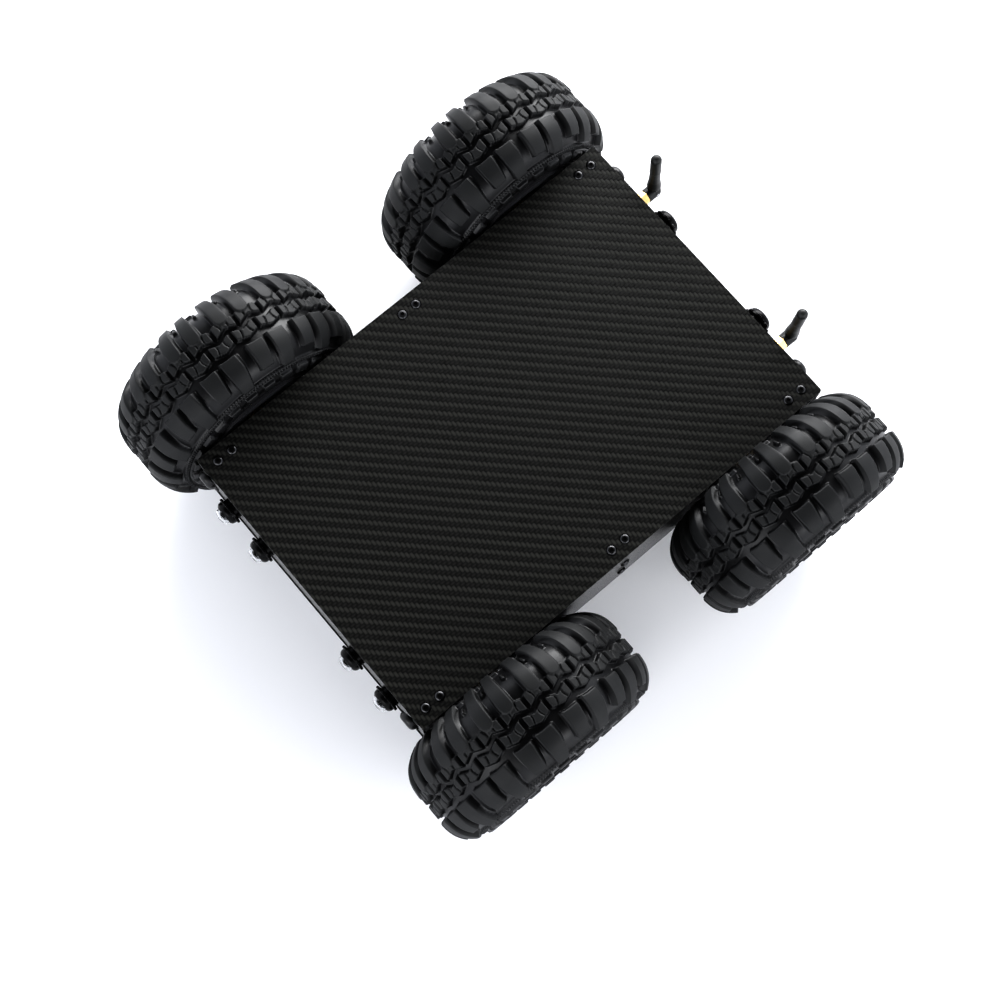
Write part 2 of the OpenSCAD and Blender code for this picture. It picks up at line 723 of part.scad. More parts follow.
rear_left() wheel_screw();  // wheel_screw_rear_left
rear_right() wheel_screw();  // wheel_screw_rear_right
headlamp_bodies();
headlamp_lenses();
tail_lamp_bodies();
tail_lamp_lenses();
lamp_nuts();
antenna_jacks();
antenna_jack_nuts();
antenna_plug(1);  // antenna_plug_left
antenna_plug(-1);  // antenna_plug_right
antenna_knuckle(1, 0);  // antenna_knuckle_left
antenna_knuckle(-1, right_lean);  // antenna_knuckle_right
antenna_pin(1, 0);  // antenna_pin_left
antenna_pin(-1, right_lean);  // antenna_pin_right
antenna_whip(1, 0);  // antenna_whip_left
antenna_whip(-1, right_lean);  // antenna_whip_right
control_board();
board_posts();
battery();
battery_strap();
motor_leads();
lamp_leads();
battery_lead();
antenna_cables();
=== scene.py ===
"""Looks of a four wheel robot chassis: carbon fibre box, off-road tyres, lamps and antennas."""
import json
import math

import bmesh
import bpy
import numpy as np
from mathutils import Matrix, Vector


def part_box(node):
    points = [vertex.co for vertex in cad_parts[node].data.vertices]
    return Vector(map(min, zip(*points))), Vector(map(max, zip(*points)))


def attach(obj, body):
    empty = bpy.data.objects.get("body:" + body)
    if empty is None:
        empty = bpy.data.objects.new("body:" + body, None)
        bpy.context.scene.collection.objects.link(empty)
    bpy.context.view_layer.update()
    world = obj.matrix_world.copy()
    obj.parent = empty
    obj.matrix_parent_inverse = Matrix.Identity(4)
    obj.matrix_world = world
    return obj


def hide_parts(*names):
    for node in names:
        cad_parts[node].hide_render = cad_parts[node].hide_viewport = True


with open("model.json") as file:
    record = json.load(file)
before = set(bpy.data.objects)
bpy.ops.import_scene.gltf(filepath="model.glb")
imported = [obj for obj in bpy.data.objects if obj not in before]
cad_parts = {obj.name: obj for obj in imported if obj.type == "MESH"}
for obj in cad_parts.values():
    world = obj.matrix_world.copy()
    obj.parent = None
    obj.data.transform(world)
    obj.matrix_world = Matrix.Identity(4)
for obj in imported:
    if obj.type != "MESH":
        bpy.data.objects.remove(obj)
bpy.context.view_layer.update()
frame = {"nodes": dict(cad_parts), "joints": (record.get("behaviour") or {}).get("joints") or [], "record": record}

MM = 0.001
NODES = frame["nodes"]
CORNERS = [(front, side) for front in ("front", "rear") for side in ("left", "right")]
DECK_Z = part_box("top_plate")[1].z


def add_object(name, data):
    """New object that shows data, linked into the scene."""
    thing = bpy.data.objects.new(name, data)
    bpy.context.collection.objects.link(thing)
    return thing


# ---------------------------------------------------------------- camera, floor and light

def frame_camera(azimuth, elevation, roll, distance, target, focal):
    """Camera looking at target from azimuth and elevation in degrees; focal is in frame widths."""
    az, el, ro = (math.radians(v) for v in (azimuth, elevation, roll))
    back = Vector((math.sin(az) * math.cos(el), -math.cos(az) * math.cos(el), math.sin(el)))
    right = Vector((0, 0, 1)).cross(back).normalized()
    up = back.cross(right)
    right, up = (math.cos(ro) * right + math.sin(ro) * up,
                 math.cos(ro) * up - math.sin(ro) * right)
    data = bpy.data.cameras.new("camera")
    data.sensor_width = 36
    data.lens = focal * data.sensor_width
    data.clip_start, data.clip_end = 0.01, 20
    camera = add_object("camera", data)
    turn = Matrix((right, up, back)).transposed().to_4x4()
    camera.matrix_world = Matrix.Translation(target + back * distance) @ turn
    bpy.context.scene.camera = camera


def area_light(name, place, size, power):
    """Soft light at place, turned towards the middle of the chassis."""
    aim = Vector((0, 0, 0.05))
    data = bpy.data.lights.new(name, "AREA")
    data.shape = "RECTANGLE"
    data.size, data.size_y = size
    data.energy = power
    light = add_object(name, data)
    light.location = place
    light.rotation_euler = (aim - Vector(place)).to_track_quat("-Z", "Y").to_euler()


def ring_sky():
    """White all round the horizon and dark overhead, so that the deck reflects no light."""
    world = bpy.data.worlds.new("studio")
    bpy.context.scene.world = world
    world.use_nodes = True
    tree = world.node_tree
    sky = tree.nodes["Background"]
    sky.inputs["Strength"].default_value = 1.7
    place = tree.nodes.new("ShaderNodeTexCoord").outputs["Generated"]
    split = tree.nodes.new("ShaderNodeSeparateXYZ")
    ramp = tree.nodes.new("ShaderNodeValToRGB")
    horizon, overhead = ramp.color_ramp.elements
    horizon.position, horizon.color = 0.52, (0.90, 0.93, 1.0, 1)
    overhead.position, overhead.color = 0.82, (0.03, 0.03, 0.03, 1)
    tree.links.new(place, split.inputs[0])
    tree.links.new(split.outputs["Z"], ramp.inputs["Fac"])
    tree.links.new(ramp.outputs["Color"], sky.inputs["Color"])


def studio_light():
    """Contrasty grade, the sky, a key light behind on the right, and two weak lights."""
    grade = bpy.context.scene.view_settings
    grade.view_transform = "Standard"
    grade.look = "High Contrast"
    ring_sky()
    area_light("key", (-1.55, -1.2, 1.0), (2.0, 1.1), power=80)
    area_light("rim", (-0.3, 1.9, 1.1), (1.4, 0.9), power=14)
    area_light("fill", (1.8, 0.6, 1.2), (1.3, 1.0), power=14)


def paper_floor():
    """Plain pale floor that the wheels stand on."""
    half = 4.0
    data = bpy.data.meshes.new("floor")
    data.from_pydata([(-half, -half, 0), (half, -half, 0), (half, half, 0), (-half, half, 0)],
                     [], [(0, 1, 2, 3)])
    m = Material("floor_paper", (0.93, 0.93, 0.94), 0.9)
    m.link(m.ramp(m.noise(3.0), [(0.3, (0.92, 0.92, 0.93)), (0.7, (0.94, 0.94, 0.95))]),
           "Base Color")
    data.materials.append(m.material)
    add_object("floor", data)


# ---------------------------------------------------------------- materials

class Material:
    """A principled material with short names for the nodes that the looks below use."""

    def __init__(self, name, colour, roughness, metallic=0.0, **sockets):
        self.material = bpy.data.materials.new(name)
        self.material.use_nodes = True
        self.tree = self.material.node_tree
        self.shader = self.tree.nodes["Principled BSDF"]
        self.shader.inputs["Base Color"].default_value = (*colour, 1)
        self.shader.inputs["Roughness"].default_value = roughness
        self.shader.inputs["Metallic"].default_value = metallic
        for socket, value in sockets.items():
            self.shader.inputs[socket.replace("_", " ")].default_value = value
        self.place = self.tree.nodes.new("ShaderNodeTexCoord").outputs["Object"]

    def node(self, kind, **settings):
        """New node with these settings."""
        n = self.tree.nodes.new(kind)
        for key, value in settings.items():
            setattr(n, key, value)
        return n

    def feed(self, socket, value):
        """Give a socket a number, a colour or another node's output."""
        if isinstance(value, tuple):
            socket.default_value = (*value, 1)
        elif isinstance(value, (int, float)):
            socket.default_value = value
        else:
            self.tree.links.new(value, socket)

    def link(self, source, socket):
        """Feed an output to a socket of the shader."""
        self.feed(self.shader.inputs[socket], source)

    def calc(self, operation, *values):
        """Output of a math node."""
        n = self.node("ShaderNodeMath", operation=operation)
        for socket, value in zip(n.inputs, values):
            self.feed(socket, value)
        return n.outputs[0]

    def axes(self):
        """The place on the object, as one output for each axis."""
        n = self.node("ShaderNodeSeparateXYZ")
        self.feed(n.inputs[0], self.place)
        return n.outputs

    def noise(self, scale, detail=2.0, stretch=None):
        """Noise over the object, finer along the axes with the larger numbers in stretch."""
        source = self.place
        if stretch:
            mapping = self.node("ShaderNodeMapping")
            mapping.inputs["Scale"].default_value = stretch
            self.feed(mapping.inputs["Vector"], source)
            source = mapping.outputs[0]
        n = self.node("ShaderNodeTexNoise")
        n.inputs["Scale"].default_value = scale
        n.inputs["Detail"].default_value = detail
        self.feed(n.inputs["Vector"], source)
        return n.outputs["Fac"]

    def ramp(self, source, stops):
        """Colour ramp, or a value ramp where the stops hold single numbers."""
        n = self.node("ShaderNodeValToRGB")
        ramp = n.color_ramp
        while len(ramp.elements) < len(stops):
            ramp.elements.new(0.5)
        for element, (position, value) in zip(ramp.elements, stops):
            element.position = position
            colour = value if isinstance(value, tuple) else (value, value, value)
            element.color = (*colour, 1)
        self.feed(n.inputs["Fac"], source)
        return n.outputs["Color"]

    def blend(self, share, low, high):
        """Mix of two outputs or colours by share."""
        n = self.node("ShaderNodeMix", data_type="RGBA")
        factor, first, second = n.inputs[0], n.inputs[6], n.inputs[7]
        for socket, value in ((factor, share), (first, low), (second, high)):
            self.feed(socket, value)
        return n.outputs[2]

    def bump(self, height, distance, strength):
        """Relief of that many metres from a height between 0 and 1."""
        n = self.node("ShaderNodeBump")
        n.inputs["Distance"].default_value = distance
        n.inputs["Strength"].default_value = strength
        self.feed(n.inputs["Height"], height)
        self.link(n.outputs[0], "Normal")


def darker(colour, share):
    """The colour with that share of its brightness."""
    return tuple(c * share for c in colour)


TOW = 1.98 * MM  # width of one tow of the carbon cloth
REPEAT = 4  # tows after which a 2x2 twill repeats: over two and under two


def twill(m, across, along):
    """Where the warp is on top, 1 or 0, and the height of the top tow, in a 2x2 twill."""
    xyz = m.axes()
    u, v = m.calc("DIVIDE", xyz[across], TOW), m.calc("DIVIDE", xyz[along], TOW)
    column, row = m.calc("FLOOR", u), m.calc("FLOOR", v)

    def in_repeat(a, b):
        return m.calc("FLOORED_MODULO", m.calc("ADD", a, b), REPEAT)

    def arch(place, power):
        """Rise and fall between 0 and 1, with a flatter top for a smaller power."""
        wave = m.calc("SINE", m.calc("MULTIPLY", place, math.pi))
        return m.calc("POWER", m.calc("MAXIMUM", wave, 0.0), power)

    def crown(run, cross):
        """Height of a tow: round across it, and dipping at both ends of its float."""
        return m.calc("MULTIPLY", arch(run, 0.45), arch(m.calc("FRACT", cross), 0.6))

    over = m.calc("LESS_THAN", in_repeat(column, row), REPEAT / 2)
    under = m.calc("SUBTRACT", 1, over)
    warp_run = m.calc("DIVIDE", in_repeat(column, v), REPEAT / 2)
    weft_run = m.calc("SUBTRACT", m.calc("DIVIDE", in_repeat(row, u), REPEAT / 2), 1)
    warp = m.calc("MULTIPLY", over, crown(warp_run, u))
    weft = m.calc("MULTIPLY", under, crown(weft_run, v))
    return over, m.calc("ADD", warp, weft)


def carbon(name, across, along, coat):
    """Lacquered 2x2 twill whose tows run along two axes, given as 0, 1 or 2, with painted highlight, shade and
    sheen on its tows.
    """
    m = Material(name, (0.01, 0.01, 0.01), 0.4, Coat_Weight=coat, Coat_Roughness=0.16,
                 Specular_IOR_Level=0.22)
    over, height = twill(m, across, along)
    # Painted light: each tow is painted lighter at its crown as a highlight and darker towards its edges as shade,
    # and the warp is painted lighter than the weft as a painted sheen of the weave.
    gap = (0.001, 0.001, 0.001)
    warp_painted_light = m.ramp(height, [(0.0, gap), (0.4, (0.015, 0.015, 0.0132)),
                                (1.0, (0.030, 0.030, 0.0268))])
    weft_painted_light = m.ramp(height, [(0.0, gap), (0.6, (0.0025, 0.0025, 0.0023)),
                                (1.0, (0.013, 0.013, 0.0115))])
    thread, cloud = m.noise(900), m.noise(9)
    tone = m.blend(over, weft_painted_light, warp_painted_light)
    tone = m.blend(m.calc("MULTIPLY", thread, 0.3), tone, (0.004, 0.004, 0.0037))
    tone = m.blend(m.calc("MULTIPLY", cloud, 0.2), tone, (0.012, 0.012, 0.011))
    m.link(tone, "Base Color")
    m.link(m.ramp(thread, [(0.3, 0.34), (0.7, 0.5)]), "Roughness")
    m.bump(height, 0.12 * MM, 0.6)
    return m.material


def rubber(name, dark, light, roughness, grain=900):
    """Moulded rubber with a fine grain and a faint bloom."""
    m = Material(name, dark, roughness, Specular_IOR_Level=0.3)
    m.link(m.ramp(m.noise(18, 4.0), [(0.3, dark), (0.75, light)]), "Base Color")
    m.link(m.ramp(m.noise(60, 3.0), [(0.3, roughness - 0.07), (0.7, roughness + 0.08)]),
           "Roughness")
    m.bump(m.noise(grain, 3.0), 0.05 * MM, 0.35)
    return m.material


def tyre_rubber():
    """Matt black lugs over a smoother, glossier carcass."""
    m = Material("tyre_rubber", (0.008, 0.008, 0.008), 0.5, Specular_IOR_Level=0.3)
    raised = m.node("ShaderNodeAttribute", attribute_name="raised").outputs["Fac"]
    lug = m.ramp(m.noise(25, 4.0), [(0.3, (0.0052, 0.0056, 0.0058)),
                                    (0.75, (0.0095, 0.0098, 0.0098))])
    carcass = (0.005, 0.005, 0.0054)
    m.link(m.blend(m.ramp(raised, [(0.3, 0.0), (0.8, 1.0)]), carcass, lug), "Base Color")
    patch = m.ramp(m.noise(60, 3.0), [(0.3, 0.0), (0.7, 0.12)])
    m.link(m.calc("ADD", m.ramp(raised, [(0.2, 0.3), (0.85, 0.5)]), patch), "Roughness")
    m.bump(m.noise(1400, 3.0), 0.04 * MM, 0.3)
    return m.material


def metal(name, colour, roughness, marks=(60, 60, 900)):
    """Machined or plated metal with fine tool marks, this many to a metre along each axis."""
    m = Material(name, colour, roughness, metallic=1.0)
    scratches = m.noise(1, 3.0, marks)
    m.link(m.ramp(scratches, [(0.3, darker(colour, 0.82)), (0.7, colour)]), "Base Color")
    m.link(m.ramp(m.noise(90, 3.0), [(0.3, roughness - 0.06), (0.7, roughness + 0.06)]),
           "Roughness")
    m.bump(scratches, 0.02 * MM, 0.3)
    return m.material


def plastic(name, colour, roughness, coat=0.0, shine=0.5):
    """Moulded plastic with a spark-eroded grain."""
    m = Material(name, colour, roughness, Coat_Weight=coat, Coat_Roughness=0.05,
                 Specular_IOR_Level=shine)
    grain = m.noise(700, 3.0)
    m.link(m.ramp(m.noise(30, 3.0), [(0.3, darker(colour, 0.85)), (0.7, colour)]),
           "Base Color")
    m.link(m.ramp(grain, [(0.3, roughness - 0.06), (0.7, roughness + 0.06)]), "Roughness")
    m.bump(grain, 0.03 * MM, 0.4)
    return m.material


def clear(name, tint, roughness):
    """Clear moulded lens with faint flow marks."""
    m = Material(name, tint, roughness, Transmission_Weight=1.0, IOR=1.49,
                 Specular_IOR_Level=0.2)
    m.link(m.ramp(m.noise(40), [(0.3, darker(tint, 0.96)), (0.7, tint)]), "Base Color")
    m.bump(m.noise(200), 0.01 * MM, 0.15)
    return m.material


# ---------------------------------------------------------------- meshes

def grid_faces(rows, columns, close_rows):
    """Quads of a grid whose points are stored row by row; the columns always wrap round."""
    r = np.arange(rows if close_rows else rows - 1)
    c = np.arange(columns)
    a, b = np.meshgrid(r, c, indexing="ij")
    a2, b2 = (a + 1) % rows, (b + 1) % columns
    quads = np.stack([a * columns + b, a * columns + b2, a2 * columns + b2,
                      a2 * columns + b], -1)
    return quads.reshape(-1, 4)


def array_mesh(name, points, quads, material):
    """Mesh data straight from arrays, for the big ones."""
    data = bpy.data.meshes.new(name)
    data.vertices.add(len(points))
    data.vertices.foreach_set("co", np.asarray(points, np.float32).ravel())
    data.loops.add(quads.size)
    data.loops.foreach_set("vertex_index", quads.ravel().astype(np.int32))
    data.polygons.add(len(quads))
    data.polygons.foreach_set("loop_start", np.arange(0, quads.size, 4, dtype=np.int32))
    data.update(calc_edges=True)
    data.validate()
    data.materials.append(material)
    data.shade_smooth()
    return data


def turned(name, profile, axis, centres, material, body, teeth=0, tooth=0.0):
    """A profile of (radius, distance along the axis) turned about it, once at each centre.

    Points of the profile with a third value carry that many teeth, tooth metres proud.
    """
    sides = 96
    axis = Vector(axis).normalized()
    side = axis.orthogonal().normalized()
    angle = np.arange(sides) * 2 * math.pi / sides
    spin = np.outer(np.cos(angle), side) + np.outer(np.sin(angle), axis.cross(side))
    proud = tooth * (np.cos(teeth * angle) > 0.35)[:, None]
    rings = np.array([(r + proud * len(toothed)) * spin + h * np.array(axis)
                      for r, h, *toothed in profile])
    quads = grid_faces(len(profile), sides, close_rows=False)
    points = np.concatenate([rings.reshape(-1, 3) + np.array(c) for c in centres])
    faces = np.concatenate([quads + i * len(profile) * sides for i in range(len(centres))])
    data = array_mesh(name, points, faces, material)
    data.set_sharp_from_angle(angle=math.radians(40))
    piece = add_object(name, data)
    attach(piece, body)
    return piece


def solids(node):
    """Lowest and highest corner of each separate solid of a CAD node, from right to left."""
    shape = bmesh.new()
    shape.from_mesh(NODES[node].data)
    bmesh.ops.remove_doubles(shape, verts=shape.verts, dist=0.001 * MM)
    boxes, left = [], set(shape.verts)
    while left:
        group, edge = [], [left.pop()]
        while edge:
            vert = edge.pop()
            group.append(vert.co.copy())
            near = [link.other_vert(vert) for link in vert.link_edges]
            edge += [other for other in near if other in left]
            left.difference_update(near)
        boxes.append([Vector(pick(axis) for axis in zip(*group)) for pick in (min, max)])
    shape.free()
    return sorted(boxes, key=lambda corners: corners[0].y)


# ---------------------------------------------------------------- tyres

LUGS = 28
COLUMNS_PER_LUG = 32
ROW_STEP = 0.5 * MM


def ease(distance, width):
    """1 inside a shape, 0 outside, with a rounded wall of that width about its edge."""
    t = np.clip(0.5 - distance / width, 0, 1)
    return t * t * (3 - 2 * t)


def patch(x, half_length, y, half_width, wall):
    """Rectangle about the origin of x and y, as ease gives it."""
    return ease(np.maximum(np.abs(x) - half_length, np.abs(y) - half_width), wall)


class TyreShape:
    """Outer skin of an off-road tyre: a smooth carcass with the tread raised on it.

    The tread's lengths are in mm. around is the distance along the crown, and s the distance
    across the skin from the middle of the crown, so a lug keeps its shape as it bends over the
    shoulder. Each pattern below gives its height over the carcass, built from the distance
    outside its edge.
    """

    depth = 4.2 * MM  # of the deepest tread
    wall = 0.65  # width of the rounded wall about a shoulder lug
    stagger = 1.05  # shift of each shoulder lug, one way and the other in turn

    def __init__(self, radius, half_width, bead_radius):
        self.radius, self.half_width, self.bead_radius = radius, half_width, bead_radius
        self.pitch = 2 * math.pi * radius / LUGS / MM
        self.outline()

    def outline(self):
        """Points of the carcass from bead to bead at an even spacing, with their normals."""
        crown, width = self.radius - self.depth, self.half_width - 2.6 * MM
        drop, power = 16.0 * MM, 4.6
        shoulder = crown - drop
        share = np.sin(np.radians(np.linspace(0, 90, 90)))
        v, r = width * share, crown - drop * share ** power
        bead_v = self.half_width - 3.6 * MM
        fall = np.radians(np.linspace(4, 90, 40))
        v = np.concatenate([v, bead_v + (width - bead_v) * np.cos(fall)])
        r = np.concatenate([r, shoulder - (shoulder - self.bead_radius) * np.sin(fall)])
        v = np.concatenate([-v[:0:-1], v])
        r = np.concatenate([r[:0:-1], r])
        run = np.concatenate([[0], np.cumsum(np.hypot(np.diff(v), np.diff(r)))])
        even = np.linspace(0, run[-1], int(run[-1] / ROW_STEP))
        self.v, self.r = np.interp(even, run, v), np.interp(even, run, r)
        self.s = (even - run[-1] / 2) / MM
        dv, dr = np.gradient(self.v), np.gradient(self.r)
        size = np.hypot(dv, dr)
        self.normal_v, self.normal_r = -dr / size, dv / size

    def turn(self, around, shift=0.0):
        """Index of the pitch at each place, and the distance from that pitch's middle."""
        place = around / self.pitch + shift
        index = np.floor(place)
        return index, (place - index - 0.5) * self.pitch

    def paired(self, around, shift=0.0):
        """Which lug of a pair is at each place, 0 or 1, and the distance from its middle."""
        index, x = self.turn(around, shift)
        odd = index % 2
        return odd, x + (odd * 2 - 1) * self.stagger

    def chevrons(self, around, s, shift):
        """One row of the middle chain, pointing towards -s, split in three by thin sipes."""
        gap, height, sipe_depth = 1.2, 3.4, 1.6
        side = np.abs(self.turn(around, shift)[1])
        far, near = -9.6 + 0.31 * side, -3.2 + 0.38 * side
        tip = (side - s) * 0.7 - 11.2
        edge = np.maximum.reduce([side - (self.pitch / 2 - gap), (far - s) * 0.95,
                                  (s - near) * 0.93, tip])
        bend = 0.38 * np.clip(-5.0 - s, 0, 9) + 0.35 * np.clip(s + 3.2, 0, 9)
        sipe = np.abs(side - 2.5 - bend) - 0.3
        cut = ease(np.maximum(sipe, edge + 0.1), 0.5)
        return ease(edge, 0.6) * height - cut * sipe_depth

    def thumbs(self, around, s):
        """Round-ended lugs on the -s shoulder, with a shallow dish towards their flanks."""
        half, start, end, height, dish = 4.75, -12.6, -37.0, 4.15, 0.25
        x = self.paired(around)[1]
        body = np.where(s > start, np.hypot(x, s - start) - half,
                        np.abs(x) - half + 0.035 * (start - s))
        flank = np.clip((np.abs(x) - 3.4) / 1.3, 0, 1)
        return ease(np.maximum(body, end - s), self.wall) * (height - dish * flank)

    def slabs(self, around, s):
        """Long and short lugs on the +s shoulder, steep on one flank and sloping on the other."""
        half, long_end, shorter, height = 4.6, 29.2, 4.4, 4.1
        odd, x = self.paired(around, 0.35)
        start = 9.9 - 0.1 * np.abs(x) ** 1.5 * (x > 0)
        end = long_end - shorter * odd
        steep = np.maximum.reduce([x - half, start - s, s - end])
        sloping = -half - 0.22 * np.clip(end - s, 0, 12) - x
        slope_width = 3.0 - 0.12 * (s - 9).clip(0, 15)
        return ease(steep, self.wall) * ease(sloping, slope_width) * height

    def shoulder(self, around, s):
        """Low blocks beyond the lugs, a fine knurl between them and a ring on each side."""
        reach = np.abs(s)
        block = patch(self.turn(around, 0.2)[1], 5.2, reach - 38.2, 3.0, wall=1.0) * 1.9
        nub = patch(self.turn(around, 0.5)[1], 1.2, reach - 27.0, 2.2, wall=0.9) * 2.0 * (s < 0)
        knurl_low, knurl_width, teeth_per_lug = 30.4, 3.0, 7
        up = s - knurl_low
        waves = (np.sin(2 * math.pi * teeth_per_lug * around / self.pitch)
                 * np.sin(2 * math.pi * up / knurl_width))
        teeth = 0.5 + 0.5 * np.sign(waves)
        band = np.abs(up - knurl_width / 2) - knurl_width / 2
        knurl = ease(band, 0.5) * (0.9 + 0.9 * teeth)
        rings = ease(np.abs(reach - 43.4) - 0.5, 0.6) * 0.6
        return np.maximum.reduce([block, nub, knurl, rings])

    def height(self, around, s):
        """Height of the tread over the carcass; the middle chain sits off centre."""
        middle = s + 2.75
        return np.maximum.reduce([
            self.chevrons(around, middle, 0.0), self.chevrons(around, -middle, 0.5),
            self.thumbs(around, s), self.slabs(around, s), self.shoulder(around, s)])

    def mesh(self, name, material):
        """The skin with its tread, closed by an inner face; "raised" is 1 on top of a lug."""
        columns = LUGS * COLUMNS_PER_LUG
        angle = np.arange(columns) * 2 * math.pi / columns
        crown = angle / (2 * math.pi) * LUGS * self.pitch
        s, around = np.meshgrid(self.s, crown, indexing="ij")
        h = np.minimum(self.height(around, s) * MM, self.depth)
        v = np.clip(self.v[:, None] + h * self.normal_v[:, None],
                    -self.half_width, self.half_width)
        r = np.minimum(self.r[:, None] + h * self.normal_r[:, None], self.radius)
        inner_v = np.array([1, 0.82, 0.3, -0.3, -0.82, -1]) * (self.half_width - 5.5 * MM)
        inner_r = np.array([0, 12, 19, 19, 12, 0]) * MM + self.bead_radius
        round_ring = np.ones(columns)
        v = np.vstack([v, inner_v[:, None] * round_ring])
        r = np.vstack([r, inner_r[:, None] * round_ring])
        points = np.stack([r * np.sin(angle), v, r * np.cos(angle)], -1).reshape(-1, 3)
        data = array_mesh(name, points, grid_faces(len(v), columns, close_rows=True), material)
        raised = np.zeros(v.shape)
        raised[:len(h)] = h / self.depth
        mark = data.attributes.new("raised", "FLOAT", "POINT")
        mark.data.foreach_set("value", raised.ravel().astype(np.float32))
        return data


def tyres(material):
    """The same tyre on all four wheels, with the radius and width of the CAD one."""
    low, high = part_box("tyre_front_left")
    rim_low, rim_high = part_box("wheel_rim_front_left")
    shape = TyreShape(radius=(high.z - low.z) / 2, half_width=(high.y - low.y) / 2 - 0.1 * MM,
                      bead_radius=(rim_high.z - rim_low.z) / 2 - 1.9 * MM)
    data = shape.mesh("tyre_skin", material)
    for front, side in CORNERS:
        node = f"tyre_{front}_{side}"
        low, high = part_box(node)
        piece = add_object(f"tread_{front}_{side}", data)
        piece.location = (low + high) / 2
        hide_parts(node)
        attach(piece, f"wheel_{front}_{side}")


# ---------------------------------------------------------------- lamps and antennas

BORE = 5.05 * MM  # radius of the opening that holds a lamp's dome
SEAT_DEPTH = 2.4 * MM  # from the housing's rim back to the foot of the dome


def arc(radius, low, high):
    """Quarter of an oval from the rim (radius, low) up to the pole at high."""
    turns = np.radians(np.linspace(0, 89, 9))
    return [(radius * math.cos(t), low + (high - low) * math.sin(t)) for t in turns]


def housing_profile(flange, rim):
    """Barrel through the panel, collar, toothed flange, and a face that rounds to the bore."""
    barrel, collar, blunt = 6.0 * MM, 6.6 * MM, 0.3 * MM
    back, front = rim - 5.2 * MM, rim - 3.6 * MM
    return [(barrel, -12 * MM), (barrel, 0), (collar, 0), (collar, back - blunt),
            (flange - blunt, back, 1), (flange, back + blunt, 1),
            (flange, front - blunt, 1), (flange - blunt, front, 1),
            (flange - 0.5 * MM, front + 0.1 * MM), (flange - 0.7 * MM, rim - 1.9 * MM),
            (flange - 1.2 * MM, rim - 0.9 * MM), (flange - 2.2 * MM, rim - 0.1 * MM),
            (BORE + 0.6 * MM, rim), (BORE, rim), (BORE, rim - SEAT_DEPTH)]


def dome_profile(rim, tip):
    """Hollow dome, from its inner pole down to the foot and up again to its outer pole."""
    wall, play = 0.5 * MM, 0.05 * MM
    foot, shoulder = rim - SEAT_DEPTH, rim + 0.3 * (tip - rim)
    inner = arc(BORE - wall, shoulder, tip - wall)
    outer = arc(BORE - play, shoulder, tip)
    return inner[::-1] + [(BORE - wall, foot), (BORE - play, foot)] + outer


def core_profile(rim, tip):
    """Dark bulb holder that leaves a clear margin inside the dome."""
    foot = rim - SEAT_DEPTH
    return arc(0.8 * BORE, foot + 0.1 * MM, foot + 0.78 * (tip - foot))


def lamps(kind, outward, flange, black, glass):
    """A row of lamps on the front panel where outward is 1, or on the rear one where it is -1.

    Each is a round black housing with a toothed flange, behind a domed lens with a dark core.
    """
    bodies, lenses = f"{kind}_bodies", f"{kind}_lenses"
    panel, far = ("front_panel", 1) if outward > 0 else ("rear_panel", 0)
    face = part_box(panel)[far].x
    rim = abs(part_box(bodies)[far].x - face)
    tip = abs(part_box(lenses)[far].x - face)
    seats = [Vector((face, (low.y + high.y) / 2, (low.z + high.z) / 2))
             for low, high in solids(lenses)]
    axis = (outward, 0, 0)
    housing = turned(f"{bodies}_shell", housing_profile(flange, rim), axis, seats, black,
                     "chassis", teeth=8, tooth=0.8 * MM)
    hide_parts(bodies)
    dome = turned(f"{lenses}_dome", dome_profile(rim, tip), axis, seats, glass, "chassis")
    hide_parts(lenses)
    turned(f"{bodies}_core", core_profile(rim, tip), axis, seats, black, "chassis")


def whip_seams(material):
    """The moulding seam that runs round each antenna whip above its middle."""
    radius, proud, half, up_the_whip = 3.35 * MM, 0.13 * MM, 0.12 * MM, 0.6
    ring = [(radius - proud, -2 * half), (radius + proud, -half),
            (radius + proud, half), (radius - proud, 2 * half)]
    for joint in frame["joints"]:
        if "fold" not in joint["name"]:
            continue
        side = joint["name"].split("_")[-1]
        pin = Vector(joint["pos_m"])
        up = Vector(joint["axis"]).cross(Vector((1, 0, 0))).normalized()
        length = (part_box(f"antenna_whip_{side}")[1].z - pin.z) / up.z
        turned(f"whip_seam_{side}", ring, up, [pin + up * length * up_the_whip], material,
               joint["child"])


# ---------------------------------------------------------------- finishes of the CAD nodes

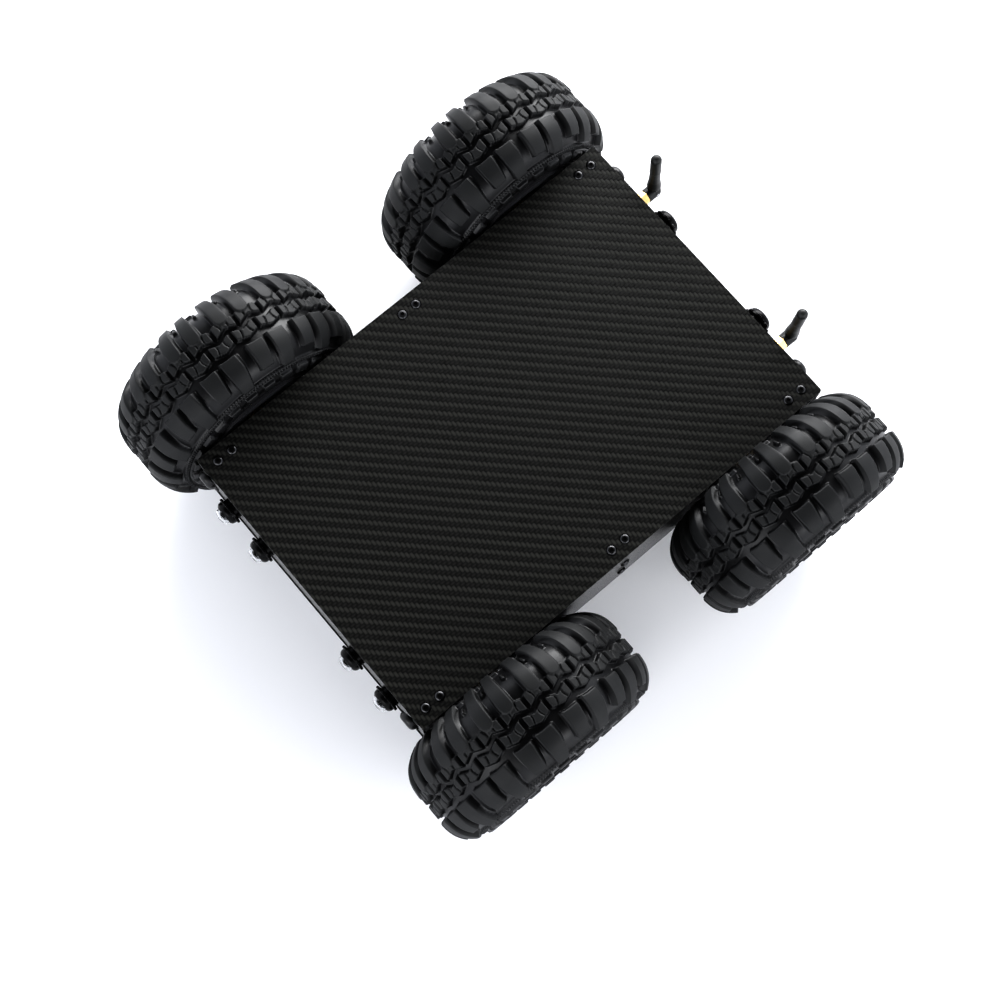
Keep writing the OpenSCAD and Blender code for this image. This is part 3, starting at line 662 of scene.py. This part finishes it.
def slot_looks():
    """Material of each of the record's slots that CAD nodes still show."""
    return {
        "carbon_plate": carbon("carbon_flat", 0, 1, coat=0.3),
        "alloy": metal("machined_alloy", (0.75, 0.76, 0.78), 0.35),
        "black_screw": metal("black_oxide", (0.06, 0.06, 0.062), 0.32, (300, 300, 300)),
        "bright_steel": metal("bright_steel", (0.62, 0.62, 0.64), 0.28, (200, 200, 200)),
        "motor_metal": metal("motor_can", (0.6, 0.6, 0.62), 0.3, (40, 900, 40)),
        "brass_hub": metal("brass", (0.80, 0.62, 0.30), 0.28, (300, 300, 300)),
        "gold_plate": metal("gold_plate", (0.78, 0.58, 0.26), 0.32, (300, 300, 300)),
        "rim_plastic": plastic("rim_nylon", (0.02, 0.02, 0.022), 0.4),
        "board_green": plastic("solder_mask", (0.01, 0.09, 0.04), 0.25, coat=0.3),
        "white_nylon": plastic("white_nylon", (0.8, 0.8, 0.76), 0.45),
        "battery_wrap": plastic("battery_wrap", (0.02, 0.05, 0.16), 0.25, coat=0.3),
        "bumper_rubber": rubber("bumper_rubber", (0.006, 0.006, 0.006),
                                (0.012, 0.012, 0.012), 0.33),
        "antenna_black": rubber("antenna_rubber", (0.010, 0.0105, 0.010),
                                (0.017, 0.0175, 0.016), 0.4),
        "strap_black": rubber("strap_weave", (0.012, 0.012, 0.012), (0.03, 0.03, 0.03), 0.8,
                              grain=500),
        "lead_red": rubber("lead_red", (0.30, 0.01, 0.01), (0.42, 0.02, 0.02), 0.4),
        "lead_black": rubber("lead_black", (0.012, 0.012, 0.012), (0.03, 0.03, 0.03), 0.45),
    }


def finish_nodes(replaced):
    """Give each CAD node its slot's material, and the upright panels a weave that stands up."""
    looks = slot_looks()
    lengthwise = carbon("carbon_side", 0, 2, coat=0.4)
    crosswise = carbon("carbon_end", 1, 2, coat=0.3)
    upright = {"side_panel_left": lengthwise, "side_panel_right": lengthwise,
               "front_panel": crosswise, "rear_panel": crosswise}
    for part in frame["record"]["subparts"]:
        name, slot = part["node"], part["material_slot"]
        if slot in replaced:
            continue
        materials = NODES[name].data.materials
        materials.clear()
        materials.append(upright.get(name) or looks[slot])


def soften_edges():
    """Break the edges of the carbon plates and panels."""
    for part in frame["record"]["subparts"]:
        if part["material_slot"] != "carbon_plate":
            continue
        modifiers = NODES[part["node"]].modifiers
        weld = modifiers.new("weld", "WELD")
        weld.merge_threshold = 0.001 * MM
        bevel = modifiers.new("edge", "BEVEL")
        bevel.width = 0.25 * MM
        bevel.segments = 2
        bevel.limit_method = "ANGLE"
        bevel.harden_normals = True


# The photograph's viewing angle, from a pinhole camera fitted to the deck's edges and screws.
frame_camera(azimuth=136.07, elevation=76.45, roll=3.48, distance=0.882,
             target=Vector((0.0339, 0.0292, DECK_Z)), focal=1.56)
studio_light()
paper_floor()
finish_nodes(replaced=("tyre_rubber", "lamp_black", "clear_lens", "red_lens"))
soften_edges()
tyres(tyre_rubber())
lamp_black = plastic("lamp_shell_black", (0.003, 0.003, 0.003), 0.25, shine=0.12)
lamps("headlamp", 1, 7.9 * MM, lamp_black, clear("clear_dome", (0.98, 0.99, 1.0), 0.02))
lamps("tail_lamp", -1, 8.6 * MM, lamp_black, clear("red_dome", (0.4, 0.02, 0.02), 0.12))
# The seam is a real raised ridge, but its rubber is paler than the whip's as a painted highlight along it.
whip_seams(rubber("seam_painted_highlight", (0.05, 0.05, 0.048), (0.08, 0.08, 0.076), 0.35))
